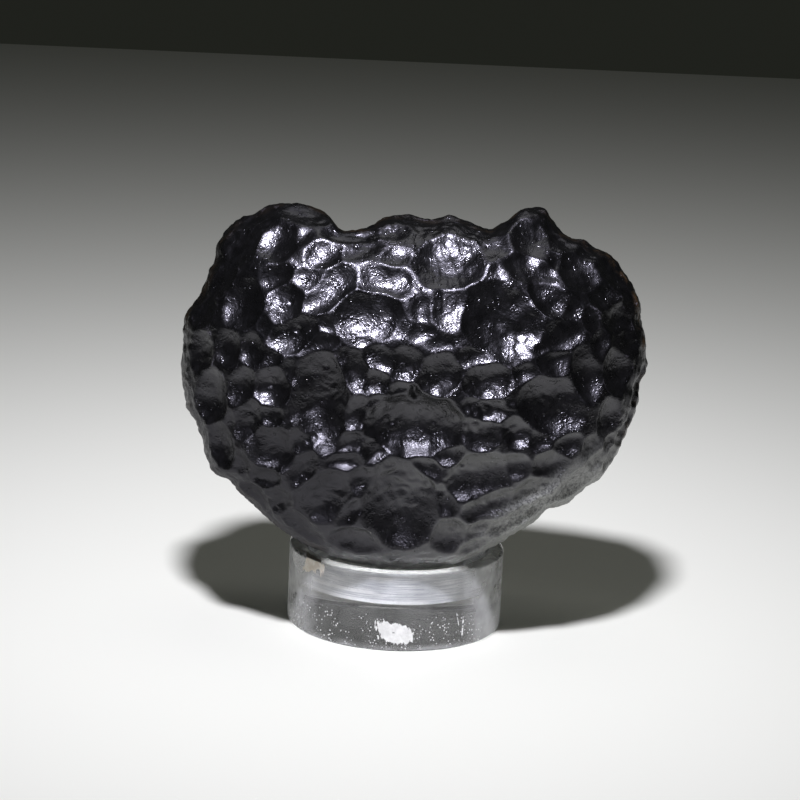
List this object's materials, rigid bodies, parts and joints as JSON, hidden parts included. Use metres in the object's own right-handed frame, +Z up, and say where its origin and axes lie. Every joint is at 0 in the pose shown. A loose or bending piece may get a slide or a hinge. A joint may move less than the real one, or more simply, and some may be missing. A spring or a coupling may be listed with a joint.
{
  "type": "tektite specimen on display stand",
  "caption": "Flattened lump of pitted black natural glass, stood on edge in the shallow recess of a low round clear acrylic display stand.",
  "frame": {"origin": "middle of the display stand's foot, on the surface it stands on", "axes": "+X along the stone's length, +Y away from its scalloped face so that the face looks to -Y, +Z up along the stand's axis"},
  "size_m": [0.0542, 0.0287, 0.0498],
  "materials": {
    "tektite_glass": "black natural glass, opaque but for a brown tint at thin edges; glossy hollows with fine wrinkles, ridges dulled and greyed by wear",
    "clear_acrylic": "clear polished acrylic with turned lines on the recess wall, light scratches, and dried residue on the front rim"
  },
  "bodies": {
    "root": {"tektite": "tektite_glass", "display_stand": "clear_acrylic"}
  },
  "joints": []
}
